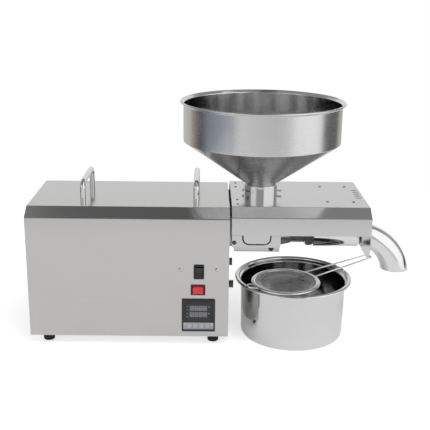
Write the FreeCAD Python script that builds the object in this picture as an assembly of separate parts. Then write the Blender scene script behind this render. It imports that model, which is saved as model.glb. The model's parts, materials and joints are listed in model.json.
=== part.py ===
"""Countertop screw oil press: sheet steel housing with motor and gears, heated press head under a
lift-off cover, seed hopper, discharge elbow, oil pot and strainer.

Millimetres, +Z up, +X from the motor end to the press end, -Y is the operator's side.
Every sub-part is built with X = 0 on the seam end of the housing, and export() then moves it along X
so that the origin lies on the table, under the middle of the whole machine.
"""
import FreeCAD, Part
import math
import os

V = FreeCAD.Vector
os.makedirs("parts", exist_ok=True)

# ---- driving dimensions ----
ORIGIN_SHIFT = 5.8          # from the housing's seam end to the middle of the machine
SHEET = 1.2                 # sheet steel of housing and cover
BEND_RADIUS = 2.0           # outside radius of sheet bends

HOUSING_LENGTH = 286.0
HALF_DEPTH = 91.0           # housing and cover, from mid-plane to front face
HOUSING_BOTTOM = 14.0
HOUSING_BEND_Z = 191.5      # where the front face bends into the sloping edge
HOUSING_TOP = 203.5
HOUSING_SLOPE = 19.0        # horizontal width of the sloping edge

COVER_START = 3.0           # gap between housing and cover
COVER_END = 198.4
COVER_BOTTOM = 168.5
COVER_BEND_Z = 194.0
COVER_TOP = 205.5
COVER_SLOPE = 18.0
END_PLATE_BOTTOM = 130.0
END_PLATE_THICKNESS = 1.0

AXIS_Z = 146.0              # press screw and output spindle
BORE_R = 13.0               # press bore
SCREW_R = 12.5
SCREW_ROOT_R = 8.5
SCREW_PITCH = 16.0

BLOCK_X = (8.0, 75.5)
BLOCK_HALF_DEPTH = 35.0
BLOCK_HALF_HEIGHT = 20.9
NECK_END = 93.0
NECK_R = (21.0, 17.2)
RING_COUNT = 6
RING_PITCH = 3.85
RING_R = 16.8
RING_GAP = 1.6
RING_HUB_R = 14.3
NUT_LENGTH = 11.0
NUT_FLATS = 36.0
NOZZLE_R = 18.0
NOZZLE_END = 195.7
HEATER_R = 21.4

HOPPER_X = 47.1
HOPPER_RIM_Z = 343.8
HOPPER_RIM_R = 119.6
HOPPER_R = 114.7
HOPPER_CONE_Z = 286.2
SPOUT_R = 21.6
SPOUT_TOP_Z = 221.4
SPOUT_BOTTOM_Z = 182.0
SOCKET_R = 25.3
SOCKET_BORE_R = 22.0
SOCKET_Z = (167.0, 221.0)

ELBOW_START_X = 188.0       # where the elbow's centre line leaves the horizontal
ELBOW_RADIUS = 68.4
ELBOW_R = (16.0, 21.3)      # outside pipe radius at the start and end of the bend
ELBOW_WALL = 1.5
OUTLET_Z = 89.0

POT_CENTRE = (97.3, -33.5)
POT_FOOT_R = 76.0
POT_R = 77.5                # wall just below the flare
POT_FLARE_Z = 82.5
POT_MOUTH_R = 80.4
POT_RIM_R = 86.6
POT_RIM_Z = 88.2
POT_CORNER = 4.5
POT_WALL = 0.9

STRAINER_CENTRE = (83.5, -65.5)
STRAINER_R = 50.2
STRAINER_Z = 88.7
STRAINER_HANDLE_ANGLE = 37.2
STRAINER_HANDLE_REACH = 178.5
STRAINER_HANDLE_HALF_GAP = (10.9, 6.3)    # at the hoop and at the loop's end
HANDLE_WIRE_R = 1.4
HANDLE_BEND_R = 3.5
REST_WIRE_R = 1.3
REST_LOOP = ((-46.0, -11.9), (-54.0, -11.7), (-56.2, -14.2), (-56.5, -19.5), (-54.5, -23.2), (-44.6, -25.2),
             (-36.6, -28.3))  # resting loop, from the hoop's centre

CONTROLLER_CENTRE = (-43.0, 47.5)
CONTROLLER_SIZE = 48.0
DIRECTION_CENTRE = (-42.7, 113.8)
HEATER_SWITCH_CENTRE = (-43.8, 86.4)
ROCKER_LONG = 21.0
ROCKER_SHORT = 15.0
ROCKER_PIVOT_DEPTH = 1.5

FOOT_X = (-262.9, -21.7)
FOOT_Y = 72.0
HANDLE_X = (-210.0, -47.8)
HANDLE_HALF_SPAN = 46.0
HANDLE_ROD_R = 4.0
HANDLE_TOP = 234.8

MODULE_1 = 1.5              # motor pinion and idler wheel
MODULE_2 = 2.0              # idler pinion and output gear
MOTOR_TEETH = 14
IDLER_WHEEL_TEETH = 42
IDLER_PINION_TEETH = 16
OUTPUT_TEETH = 44
IDLER_ANGLE = 30.0          # idler shaft's swing to the front of the vertical under the spindle
GEAR_BACKLASH = 0.08        # part of a pitch
SHAFT_GAP = 0.05            # radial running clearance

GEARBOX_X = (-128.0, -72.0)
GEARBOX_Y = (-70.0, 54.0)
GEARBOX_Z = (44.0, 199.0)
GEARBOX_WALL = 8.0
LID_THICKNESS = 8.0
MOTOR_R = 46.0
MOTOR_X = (-250.0, -136.0)

FLANGE_BOLT_PLACES = [(y, AXIS_Z + dz) for y in (-43, 43) for dz in (0, 28)]  # (y, z)
END_SCREW_PLACES = [(y, z) for y in (-82, 82) for z in (42, 169)]  # (y, z) of the screws in each end panel
GLAND_PLACES = [(-6, 99), (-6, 62.5)]  # (y, z) of the cable glands
PANEL_SCREW_X = (-69.1, -17.4)
PANEL_SCREW_Z = 117.0
INLET_CENTRE = (-250.0, 60.0)  # (x, z) of the mains inlet in the back
CLAMP_SCREW_PLACE = (63.0, 131.0)  # (x, z)
TRAY_SCREW_PLACE = (6.6, 158.0)  # (x, z)
TONGUE_X = (19.5, 56.5)  # tongue under the cover's front face
TONGUE_BOTTOM = 156.3
TONGUE_CORNER = 8.0
COVER_SCREW_PLACES = [(11.5, y) for y in (-60, -36, 36, 60)]  # (x, y)
SHIELD_SCREW_PLACES = [(x, y) for x in (141.5, 179.5) for y in (-43, 43)]  # (x, y)
SOCKET_SCREW_Z = 210.0
SOCKET_SCREW_R = 1.3
KEY_COUNT = 4
KEY_PITCH = 8.6
KEY_SIZE = (7.0, 6.0)
KEY_Z = 33.0
KEY_DEPTH = 2.6
CONTROLLER_FACE = -HALF_DEPTH - 5.0  # y of the bezel's front


def export(name, *solids):
    """Writes one node, which may hold several equal solids."""
    shape = solids[0] if len(solids) == 1 else Part.makeCompound(list(solids))
    shape = shape.copy()
    shape.translate(V(ORIGIN_SHIFT, 0, 0))
    shape.exportStep("parts/" + name + ".step")


# ---- small building blocks ----
def box(x, y, z):
    """Box between the pairs x, y and z."""
    corner = V(x[0], y[0], z[0])
    return Part.makeBox(x[1] - x[0], y[1] - y[0], z[1] - z[0], corner)


def cyl_x(x, y, z, r):
    return Part.makeCylinder(r, x[1] - x[0], V(x[0], y, z), V(1, 0, 0))


def cyl_y(x, y, z, r):
    return Part.makeCylinder(r, y[1] - y[0], V(x, y[0], z), V(0, 1, 0))


def cyl_z(x, y, z, r):
    return Part.makeCylinder(r, z[1] - z[0], V(x, y, z[0]), V(0, 0, 1))


def ring_x(x, y, z, r_out, r_in):
    return cyl_x(x, y, z, r_out).cut(cyl_x(x, y, z, r_in))


def closed_face(points):
    return Part.Face(Part.makePolygon([V(*p) for p in points + points[:1]]))


def prism_x(points, x):
    """Prism of the (y, z) points between the pair x."""
    face = closed_face([(x[0], y, z) for y, z in points])
    return face.extrude(V(x[1] - x[0], 0, 0))


def turned_z(points, x, y):
    """Solid of revolution of the (r, z) points about the vertical line at x, y."""
    face = closed_face([(x + r, y, z) for r, z in points])
    return face.revolve(V(x, y, 0), V(0, 0, 1), 360)


def turned_x(points, y, z):
    """Solid of revolution of the (x, r) points about the line along X at y, z."""
    face = closed_face([(x, y, z + r) for x, r in points])
    return face.revolve(V(0, y, z), V(1, 0, 0), 360)


def edges_along(shape, direction, keep):
    """Straight edges along a direction whose middle passes the keep test."""
    found = []
    for edge in shape.Edges:
        if edge.Curve.TypeId != "Part::GeomLine":
            continue
        along = (edge.Vertexes[1].Point - edge.Vertexes[0].Point).normalize()
        if abs(along.dot(direction)) > 0.999 and keep(edge.CenterOfMass):
            found.append(edge)
    return found


def arc_points(centre, r, start, end, count):
    """Points of a circular arc in degrees, both ends included."""
    points = []
    for i in range(count + 1):
        a = math.radians(start + (end - start) * i / count)
        points.append((centre[0] + r * math.cos(a), centre[1] + r * math.sin(a)))
    return points


def rod(points, r):
    """Round wire through the points, with ball corners."""
    shape = Part.makeSphere(r, V(*points[0]))
    for a, b in zip(points, points[1:]):
        run = V(*b) - V(*a)
        shape = shape.fuse(Part.makeCylinder(r, run.Length, V(*a), run))
        shape = shape.fuse(Part.makeSphere(r, V(*b)))
    return shape


def button_screw(base, direction, head_r, head_h, shank_r, shank_len):
    """Domed head standing on the base point, with its shank behind it."""
    ball_r = (head_r ** 2 + head_h ** 2) / (2 * head_h)
    centre = base + direction * (head_h - ball_r)
    head = Part.makeSphere(ball_r, centre).common(Part.makeCylinder(head_r, head_h, base, direction))
    return head.fuse(Part.makeCylinder(shank_r, shank_len, base - direction * shank_len, direction))


def hex_prism(x, y, z, flats):
    """Hexagonal prism along X with two level flats."""
    corner = flats / math.sqrt(3)
    points = [(y + py, z + pz) for py, pz in arc_points((0, 0), corner, 0, 300, 5)]
    return prism_x(points, x)


def hood(slope, bend_z, top_z, bottom_z, inset, x):
    """Solid hood profile along X: two upright sides, two sloping edges and a flat top."""
    half = HALF_DEPTH - inset
    rise = top_z - bend_z
    flat = HALF_DEPTH - slope - inset * math.tan(math.atan2(rise, slope) / 2)
    bend = bend_z - inset * math.tan(math.atan2(slope, rise) / 2)
    top = top_z - inset
    points = [(-half, bottom_z), (-half, bend), (-flat, top), (flat, top), (half, bend), (half, bottom_z)]
    solid = prism_x(points, x)
    bends = edges_along(solid, V(1, 0, 0), lambda c: c.z > bottom_z + 1)
    return solid.makeFillet(BEND_RADIUS - inset * 0.9, bends)


# ---- housing ----
def base_pan():
    """Floor of the housing with upturned flanges inside the shell."""
    x = (-HOUSING_LENGTH + SHEET, -SHEET)
    half = HALF_DEPTH - SHEET
    outer = box(x, (-half, half), (HOUSING_BOTTOM, HOUSING_BOTTOM + 10))
    inner = box((x[0] + SHEET, x[1] - SHEET), (-half + SHEET, half - SHEET),
                (HOUSING_BOTTOM + SHEET, HOUSING_BOTTOM + 11))
    pan = outer.cut(inner)
    for fx in FOOT_X:
        for side in (-1, 1):
            pan = pan.cut(cyl_z(fx, side * FOOT_Y, (0, 40), 2.3))
    return pan


def housing_shell():
    """Front, top and back folded from one sheet, with every panel cut-out."""
    x = (-HOUSING_LENGTH + SHEET, -SHEET)
    shell = hood(HOUSING_SLOPE, HOUSING_BEND_Z, HOUSING_TOP, HOUSING_BOTTOM, 0, x)
    hollow = hood(HOUSING_SLOPE, HOUSING_BEND_Z, HOUSING_TOP, HOUSING_BOTTOM, SHEET, x)
    shell = shell.cut(hollow)
    front = (-HALF_DEPTH - 5, -HALF_DEPTH + 5)
    back = (HALF_DEPTH - 5, HALF_DEPTH + 5)
    cx, cz = CONTROLLER_CENTRE
    shell = shell.cut(box((cx - 22.4, cx + 22.4), front, (cz - 22.4, cz + 22.4)))
    for centre, width, height in rocker_places():
        half_w = width / 2 - 1
        half_h = height / 2 - 1
        shell = shell.cut(box((centre[0] - half_w, centre[0] + half_w), front,
                              (centre[1] - half_h, centre[1] + half_h)))
    for px in PANEL_SCREW_X:
        shell = shell.cut(cyl_y(px, front, PANEL_SCREW_Z, 1.7))
    for hx in HANDLE_X:
        for side in (-1, 1):
            shell = shell.cut(cyl_z(hx, side * HANDLE_HALF_SPAN, (190, 210), 3.2))
    for i in range(9):
        vx = -222 + 11 * i
        shell = shell.cut(box((vx, vx + 3.5), back, (110, 150)))
    ix, iz = INLET_CENTRE
    return shell.cut(box((ix - 14, ix + 14), back, (iz - 10, iz + 10)))


def end_panel(x):
    return hood(HOUSING_SLOPE, HOUSING_BEND_Z, HOUSING_TOP, HOUSING_BOTTOM, 0, x)


def left_end_panel():
    """Motor end, with cooling slots round the fan and screw holes at the corners."""
    x = (-HOUSING_LENGTH, -HOUSING_LENGTH + SHEET)
    panel = end_panel(x)
    through = (x[0] - 1, x[1] + 1)
    for i in range(7):
        vz = 40 + 9 * i
        panel = panel.cut(box(through, (-32, 32), (vz, vz + 3.5)))
    for y, z in END_SCREW_PLACES:
        panel = panel.cut(cyl_x(through, y, z, 2.1))
    return panel


def right_end_panel():
    """Press end, with the spindle hole, the flange bolts and the cable glands."""
    panel = end_panel((-SHEET, 0))
    through = (-SHEET - 1, 1)
    panel = panel.cut(cyl_x(through, 0, AXIS_Z, 20))
    for y, z in FLANGE_BOLT_PLACES:
        panel = panel.cut(cyl_x(through, y, z, 3.3))
    for y, z in GLAND_PLACES:
        panel = panel.cut(cyl_x(through, y, z, 4.1))
    return panel


def end_panel_screws():
    x = -HOUSING_LENGTH
    return [button_screw(V(x, y, z), V(-1, 0, 0), 3.6, 2.2, 2.0, 8) for y, z in END_SCREW_PLACES]


def rubber_foot(x, y):
    """Tapered foot with a rounded sole and a recess for its screw."""
    profile = [(2.3, 5), (2.3, HOUSING_BOTTOM), (9, HOUSING_BOTTOM)]
    profile += arc_points((6.4, 1.6), 1.6, 0, -90, 5)
    profile += [(4.6, 0), (4.6, 5)]
    return turned_z(profile, x, y)


def foot_screw(x, y):
    head = cyl_z(x, y, (2.4, 5), 4.2)
    shank = cyl_z(x, y, (5, 21), 2.0)
    slot = box((x - 5, x + 5), (y - 0.5, y + 0.5), (2, 3.4))
    return head.fuse(shank).cut(slot)


def at_feet(make):
    return [make(x, side * FOOT_Y) for x in FOOT_X for side in (-1, 1)]


def lift_handle(x):
    """Round bar bent to a bridge across the housing, with threaded ends below the sheet."""
    corner = 9.0
    top = HANDLE_TOP - HANDLE_ROD_R
    span = HANDLE_HALF_SPAN
    half = math.sqrt(0.5) * corner
    left_mid = V(x, -span + corner - half, top - corner + half)
    right_mid = V(x, span - corner + half, top - corner + half)
    edges = [
        Part.LineSegment(V(x, -span, HOUSING_TOP), V(x, -span, top - corner)).toShape(),
        Part.Arc(V(x, -span, top - corner), left_mid, V(x, -span + corner, top)).toShape(),
        Part.LineSegment(V(x, -span + corner, top), V(x, span - corner, top)).toShape(),
        Part.Arc(V(x, span - corner, top), right_mid, V(x, span, top - corner)).toShape(),
        Part.LineSegment(V(x, span, top - corner), V(x, span, HOUSING_TOP)).toShape(),
    ]
    section = Part.Wire(Part.makeCircle(HANDLE_ROD_R, V(x, -span, HOUSING_TOP), V(0, 0, 1)))
    bar = Part.Wire(edges).makePipeShell([section], True, True)
    for side in (-1, 1):
        bar = bar.fuse(cyl_z(x, side * span, (HOUSING_TOP - 12, HOUSING_TOP), 3.0))
    return bar


def handle_nut(x, y):
    """Hexagonal nut under the top sheet."""
    top = HOUSING_TOP - SHEET
    points = arc_points((x, y), 5.8, 0, 300, 5)
    face = closed_face([(px, py, top - 5) for px, py in points])
    return face.extrude(V(0, 0, 5)).cut(cyl_z(x, y, (top - 6, top + 1), 3.0 + SHAFT_GAP))


# ---- motor and gears ----
def idler_axis():
    """Place (y, z) of the idler shaft: its swing below the spindle."""
    distance = MODULE_2 * (IDLER_PINION_TEETH + OUTPUT_TEETH) / 2
    a = math.radians(IDLER_ANGLE)
    return (-distance * math.sin(a), AXIS_Z - distance * math.cos(a))


def motor_axis():
    """Place (y, z) of the motor shaft: on the mid-plane, in mesh with the idler wheel."""
    distance = MODULE_1 * (MOTOR_TEETH + IDLER_WHEEL_TEETH) / 2
    y, z = idler_axis()
    return (0.0, z - math.sqrt(distance ** 2 - y ** 2))


def involute(angle):
    return math.tan(angle) - angle


def gear(module, teeth, x, axis, phase, bore_r):
    """Spur gear along X. One tooth points at the phase angle, measured from +Y towards +Z."""
    pitch_r = module * teeth / 2
    base_r = pitch_r * math.cos(math.radians(20))
    tip_r = pitch_r + 0.8 * module
    root_r = pitch_r - 1.1 * module
    half_tooth = (0.5 - GEAR_BACKLASH) * math.pi / teeth
    at_pitch = involute(math.radians(20))
    radii = [root_r] + [max(base_r, root_r) + (tip_r - max(base_r, root_r)) * i / 4 for i in range(5)]
    flank = []
    for r in radii:
        roll = involute(math.acos(min(1.0, base_r / r)))
        flank.append((r, half_tooth + at_pitch - roll))
    points = []
    for i in range(teeth):
        mid = math.radians(phase) + 2 * math.pi * i / teeth
        for r, half in flank:
            points.append((r * math.cos(mid - half), r * math.sin(mid - half)))
        for r, half in reversed(flank):
            points.append((r * math.cos(mid + half), r * math.sin(mid + half)))
    wheel = prism_x([(axis[0] + y, axis[1] + z) for y, z in points], x)
    return wheel.cut(cyl_x(x, axis[0], axis[1], bore_r))


def mesh_phase(own_teeth, own_axis, other_axis, offset):
    """Angle of a tooth that leaves own_axis towards other_axis, moved by part of a pitch."""
    towards = math.degrees(math.atan2(other_axis[1] - own_axis[1], other_axis[0] - own_axis[0]))
    return towards + offset * 360.0 / own_teeth


def idler_gears():
    """Large wheel driven by the motor and small pinion that drives the output gear."""
    axis = idler_axis()
    wheel_phase = mesh_phase(IDLER_WHEEL_TEETH, axis, motor_axis(), 0.5)
    pinion_phase = mesh_phase(IDLER_PINION_TEETH, axis, (0, AXIS_Z), 0)
    wheel = gear(MODULE_1, IDLER_WHEEL_TEETH, (-125, -115), axis, wheel_phase, 5.0)
    pinion = gear(MODULE_2, IDLER_PINION_TEETH, (-110, -90), axis, pinion_phase, 5.0)
    hub = ring_x((-115, -110), axis[0], axis[1], 9, 5.0)
    return wheel.fuse(hub).fuse(pinion)


def idler_shaft():
    y, z = idler_axis()
    return cyl_x((-133.5, -74.5), y, z, 5.0)


def output_gear():
    axis = (0, AXIS_Z)
    phase = mesh_phase(OUTPUT_TEETH, axis, idler_axis(), 0.5)
    wheel = gear(MODULE_2, OUTPUT_TEETH, (-108, -92), axis, phase, 8.0)
    for i in range(6):
        y, z = arc_points(axis, 26, 60 * i, 60 * i, 1)[0]
        wheel = wheel.cut(cyl_x((-109, -91), y, z, 8))
    return wheel


def output_spindle():
    """Steel spindle from the gearbox to the press screw."""
    spindle = cyl_x((-133.5, BLOCK_X[0]), 0, AXIS_Z, 8.0)
    return spindle.fuse(cyl_x((-90, -84), 0, AXIS_Z, 11.0))


def motor_shaft():
    """Shaft with the laminated core."""
    y, z = motor_axis()
    return cyl_x((-279, -114), y, z, 5.0).fuse(cyl_x((-232, -152), y, z, 36.0))


def motor_pinion():
    axis = motor_axis()
    phase = mesh_phase(MOTOR_TEETH, axis, idler_axis(), 0)
    return gear(MODULE_1, MOTOR_TEETH, (-126, -114), axis, phase, 5.0)


def motor_fan():
    """Hub, back disc and eight flat blades."""
    y, z = motor_axis()
    fan = cyl_x((-278, -268), y, z, 11).fuse(cyl_x((-269.5, -268), y, z, 36))
    for i in range(8):
        blade = box((-278, -268), (y + 8, y + 36), (z - 0.8, z + 0.8))
        blade.rotate(V(0, y, z), V(1, 0, 0), 45 * i)
        fan = fan.fuse(blade)
    return fan.cut(cyl_x((-280, -266), y, z, 5.0))


def motor_body():
    """Finned tube closed by the drive-end flange."""
    y, z = motor_axis()
    body = cyl_x(MOTOR_X, y, z, MOTOR_R)
    body = body.cut(cyl_x((MOTOR_X[0] - 1, MOTOR_X[1] - 6), y, z, 40))
    body = body.cut(cyl_x((MOTOR_X[1] - 7, MOTOR_X[1] + 1), y, z, 11 + SHAFT_GAP))
    for i in range(11):
        x = MOTOR_X[0] + 12 + 9 * i
        groove = ring_x((x, x + 4), y, z, MOTOR_R + 1, MOTOR_R - 2.5)
        body = body.cut(groove)
    return body


def motor_end_bell():
    """Cap at the fan end with a bearing seat and air slots."""
    y, z = motor_axis()
    bell = cyl_x((MOTOR_X[0] - 14, MOTOR_X[0]), y, z, MOTOR_R)
    bell = bell.cut(cyl_x((MOTOR_X[0] - 8, MOTOR_X[0] + 1), y, z, 40))
    bell = bell.cut(cyl_x((MOTOR_X[0] - 15, MOTOR_X[0]), y, z, 11 + SHAFT_GAP))
    for i in range(8):
        py, pz = arc_points((y, z), 28, 45 * i + 22.5, 45 * i + 22.5, 1)[0]
        bell = bell.cut(cyl_x((MOTOR_X[0] - 15, MOTOR_X[0]), py, pz, 5))
    return bell


def motor_cradle():
    """Saddle between the motor and the base pan."""
    y, z = motor_axis()
    floor = HOUSING_BOTTOM + SHEET
    saddle = box((-236, -150), (y - 38, y + 38), (floor, floor + 18))
    return saddle.cut(cyl_x((-240, -140), y, z, MOTOR_R + SHAFT_GAP))


def bearing_places():
    """Each bearing as its X span, its axis, its outer and its inner radius."""
    lid = (-LID_THICKNESS + GEARBOX_X[0] + 2, GEARBOX_X[0])
    wall = (GEARBOX_X[1] - GEARBOX_WALL, GEARBOX_X[1] - 2)
    motor_flange = (MOTOR_X[1] - 6, MOTOR_X[1])
    bell = (MOTOR_X[0] - 14, MOTOR_X[0] - 8)
    idler = idler_axis()
    motor = motor_axis()
    spindle = (0.0, AXIS_Z)
    return [
        (lid, idler, 10.0, 5.0),
        (wall, idler, 10.0, 5.0),
        (lid, spindle, 16.0, 8.0),
        (wall, spindle, 16.0, 8.0),
        (motor_flange, motor, 11.0, 5.0),
        (bell, motor, 11.0, 5.0),
    ]


def bearings():
    rings = []
    for x, axis, r_out, r_in in bearing_places():
        rings.append(ring_x(x, axis[0], axis[1], r_out, r_in + SHAFT_GAP))
    return rings


def cut_bearing_seats(shape, x):
    """Cuts the seats of the bearings that lie inside the pair x."""
    for span, axis, r_out, r_in in bearing_places():
        if span[0] >= x[0] and span[1] <= x[1]:
            shape = shape.cut(cyl_x(span, axis[0], axis[1], r_out + SHAFT_GAP))
    return shape


def gearbox_case():
    """Cast case open towards the motor, with one end wall."""
    case = box(GEARBOX_X, GEARBOX_Y, GEARBOX_Z)
    inner = box((GEARBOX_X[0] - 1, GEARBOX_X[1] - GEARBOX_WALL), (GEARBOX_Y[0] + 5, GEARBOX_Y[1] - 5),
                (GEARBOX_Z[0] + 5, GEARBOX_Z[1] - 5))
    case = case.cut(inner)
    case = cut_bearing_seats(case, GEARBOX_X)
    return case.cut(cyl_x(GEARBOX_X, 0, AXIS_Z, 8.0 + 1.0))


def gearbox_lid():
    """Plate between motor and gearbox, with seats for two shafts and a hole for the motor shaft."""
    x = (GEARBOX_X[0] - LID_THICKNESS, GEARBOX_X[0])
    lid = cut_bearing_seats(box(x, GEARBOX_Y, GEARBOX_Z), x)
    y, z = motor_axis()
    return lid.cut(cyl_x(x, y, z, 13))


# ---- press head ----


def mount_flange():
    """Plate that carries the press block on the housing's end panel."""
    plate = box((0, BLOCK_X[0]), (-50, 50), (AXIS_Z - 8, AXIS_Z + 36))
    plate = plate.makeChamfer(3, edges_along(plate, V(1, 0, 0), lambda c: True))
    plate = plate.cut(cyl_x((-1, 20), 0, AXIS_Z, 12))
    for y, z in FLANGE_BOLT_PLACES:
        plate = plate.cut(cyl_x((-1, 20), y, z, 3.1))
    return plate


def flange_bolts():
    """Hexagon bolts, each with its nut inside the housing."""
    bolts = []
    for y, z in FLANGE_BOLT_PLACES:
        bolt = hex_prism((BLOCK_X[0], BLOCK_X[0] + 4), y, z, 10)
        bolt = bolt.fuse(cyl_x((-9, BLOCK_X[0]), y, z, 3.0))
        bolt = bolt.fuse(hex_prism((-SHEET - 5, -SHEET), y, z, 10))
        bolts.append(bolt)
    return bolts


def press_block():
    """Feed block with the press bore, the feed mouth on top and the tapered neck."""
    z = (AXIS_Z - BLOCK_HALF_HEIGHT, AXIS_Z + BLOCK_HALF_HEIGHT)
    block = box(BLOCK_X, (-BLOCK_HALF_DEPTH, BLOCK_HALF_DEPTH), z)
    block = block.makeChamfer(1.5, edges_along(block, V(1, 0, 0), lambda c: True))
    start = BLOCK_X[1]
    neck = turned_x([(start, 0), (start, NECK_R[0]), (NECK_END, NECK_R[1]), (NECK_END, 0)], 0, AXIS_Z)
    block = block.common(box(BLOCK_X, (-60, 60), z)).fuse(neck)
    block = block.cut(cyl_x((BLOCK_X[0], NECK_END), 0, AXIS_Z, BORE_R))
    block = block.cut(cyl_z(HOPPER_X, 0, (AXIS_Z, z[1] + 1), 18.0))
    cx, cz = CLAMP_SCREW_PLACE
    return block.cut(cyl_y(cx, (-BLOCK_HALF_DEPTH - 1, -BLOCK_HALF_DEPTH + 5), cz, 4.2))


def press_rings():
    """Equal stepped rings: each hub spaces the next ring, which leaves the oil gaps."""
    rings = []
    for i in range(RING_COUNT):
        x = NECK_END + i * RING_PITCH
        flange_end = x + RING_PITCH - RING_GAP
        profile = [(x, BORE_R + 0.1), (x, RING_R - 0.6), (x + 0.6, RING_R), (flange_end - 0.6, RING_R),
                   (flange_end, RING_R - 0.6), (flange_end, RING_HUB_R), (x + RING_PITCH, RING_HUB_R),
                   (x + RING_PITCH, BORE_R + 0.1)]
        rings.append(turned_x(profile, 0, AXIS_Z))
    return rings


def nut_start():
    return NECK_END + RING_COUNT * RING_PITCH


def collar_nut():
    """Hexagonal nut that clamps the rings, with turned ends."""
    x = (nut_start(), nut_start() + NUT_LENGTH)
    blank = hex_prism(x, 0, AXIS_Z, NUT_FLATS)
    corner = NUT_FLATS / math.sqrt(3)
    profile = [(x[0], 0), (x[0], corner - 2), (x[0] + 2, corner), (x[1] - 2, corner),
               (x[1], corner - 2), (x[1], 0)]
    nut = blank.common(turned_x(profile, 0, AXIS_Z))
    return nut.cut(cyl_x(x, 0, AXIS_Z, BORE_R + 0.1))


def press_nozzle():
    """Heated end of the barrel, with a bore that narrows to the cake outlet."""
    start = nut_start() + NUT_LENGTH
    profile = [(start, BORE_R), (start, NOZZLE_R), (NOZZLE_END, NOZZLE_R), (NOZZLE_END, 8.0),
               (NOZZLE_END - 6, 8.0), (NOZZLE_END - 12, BORE_R)]
    return turned_x(profile, 0, AXIS_Z)


def heater_band():
    """Polished sleeve heater round the nozzle, clamped by a screw lug at the back."""
    x = (nut_start() + NUT_LENGTH + 0.8, NOZZLE_END - 0.5)
    band = ring_x(x, 0, AXIS_Z, HEATER_R, NOZZLE_R + 0.1)
    lug = box((x[0] + 20, x[0] + 44), (HEATER_R - 1, HEATER_R + 8), (AXIS_Z + 3, AXIS_Z + 15))
    return band.fuse(lug.cut(cyl_x(x, 0, AXIS_Z, HEATER_R - 0.5)))


def press_screw():
    """Worm with a solid core, one flight and a pointed end."""
    start, end = BLOCK_X[0], NOZZLE_END - 13
    core = turned_x([(start, 0), (start, SCREW_R), (start + 8, SCREW_R), (start + 12, SCREW_ROOT_R),
                     (end - 8, SCREW_ROOT_R + 1.5), (end, 3), (end, 0)], 0, AXIS_Z)
    flight_start = start + 4
    flight_length = end - 16 - flight_start
    helix = Part.makeLongHelix(SCREW_PITCH, flight_length, SCREW_ROOT_R, 0)
    half_root, half_tip = 3.0, 1.4
    inner = SCREW_ROOT_R - 1.0
    profile = Part.makePolygon([V(inner, 0, -half_root), V(SCREW_R, 0, -half_tip), V(SCREW_R, 0, half_tip),
                                V(inner, 0, half_root), V(inner, 0, -half_root)])
    flight = Part.Wire(helix).makePipeShell([profile], True, True)
    flight.rotate(V(0, 0, 0), V(0, 1, 0), 90)
    flight.translate(V(flight_start, 0, AXIS_Z))
    return core.fuse(flight)


def notch_outline(x, bottom, top, corner, y):
    """Face of a U-shaped tongue with round lower corners, in the plane at y."""
    points = [(x[0], top)]
    points += arc_points((x[0] + corner, bottom + corner), corner, 180, 270, 8)
    points += arc_points((x[1] - corner, bottom + corner), corner, 270, 360, 8)
    points += [(x[1], top)]
    return closed_face([(px, y, pz) for px, pz in points])


def head_tray(side):
    """Half tray beside the block: an upright lip in the cover's side plane and a floor up to the block."""
    bottom = 150.9
    x = (COVER_START + 0.4, 71.5)
    wall = 1.5
    lip = box(x, (-HALF_DEPTH, -HALF_DEPTH + wall), (bottom, COVER_BOTTOM - 0.3))
    floor = box(x, (-HALF_DEPTH, -BLOCK_HALF_DEPTH), (bottom, bottom + wall))
    corner = box((0, BLOCK_X[0] + 5), (-50.5, 0), (bottom - 1, COVER_BOTTOM))
    tray = lip.fuse(floor).cut(corner)
    if side > 0:
        return tray.mirror(V(0, 0, 0), V(0, 1, 0))
    gap = 2.0
    notch = notch_outline((TONGUE_X[0] - gap, TONGUE_X[1] + gap), TONGUE_BOTTOM - gap, COVER_BOTTOM + 1,
                          TONGUE_CORNER + gap, -HALF_DEPTH - 1)
    tray = tray.cut(notch.extrude(V(0, wall + 1.5, 0)))
    return tray.cut(cyl_y(TRAY_SCREW_PLACE[0], (-HALF_DEPTH - 1, -HALF_DEPTH + 3), TRAY_SCREW_PLACE[1], 1.6))


def head_screws():
    """Black screws: one in the tray's lip and one in the block's recess."""
    tx, tz = TRAY_SCREW_PLACE
    lip = button_screw(V(tx, -HALF_DEPTH, tz), V(0, -1, 0), 3.1, 2.4, 1.5, 6)
    cx, cz = CLAMP_SCREW_PLACE
    recess = -BLOCK_HALF_DEPTH + 5
    head = cyl_y(cx, (recess - 3.5, recess), cz, 3.8).cut(cyl_y(cx, (recess - 4, recess - 1.5), cz, 2.0))
    return [lip, head]


def seam_pad():
    """Black pad on the end panel that keeps the cover off the housing."""
    return box((0, COVER_START - 0.4), (-27, 19), (AXIS_Z + 36.5, COVER_TOP + 0.4))


# ---- lift-off cover with feed socket and discharge elbow ----


def cover_shell():
    """Folded hood with a locating tongue in front and vent slots near its far end."""
    x = (COVER_START, COVER_END - END_PLATE_THICKNESS)
    shell = hood(COVER_SLOPE, COVER_BEND_Z, COVER_TOP, COVER_BOTTOM, 0, x)
    hollow = hood(COVER_SLOPE, COVER_BEND_Z, COVER_TOP, COVER_BOTTOM, SHEET, x)
    shell = shell.cut(hollow)
    tongue = notch_outline(TONGUE_X, TONGUE_BOTTOM, COVER_BOTTOM, TONGUE_CORNER, -HALF_DEPTH)
    shell = shell.fuse(tongue.extrude(V(0, SHEET, 0)))
    above = (COVER_TOP - 3, COVER_TOP + 1)
    shell = shell.cut(cyl_z(HOPPER_X, 0, above, SOCKET_R))
    for sx, sy in COVER_SCREW_PLACES:
        shell = shell.cut(cyl_z(sx, sy, above, 1.1))
    for sx, sy in SHIELD_SCREW_PLACES:
        shell = shell.cut(cyl_z(sx, sy, above, 1.6))
    for i in range(5):
        vy = 11 * (i - 2)
        shell = shell.cut(box((186.5, 195), (vy - 1.6, vy + 1.6), above))
    return shell


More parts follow.
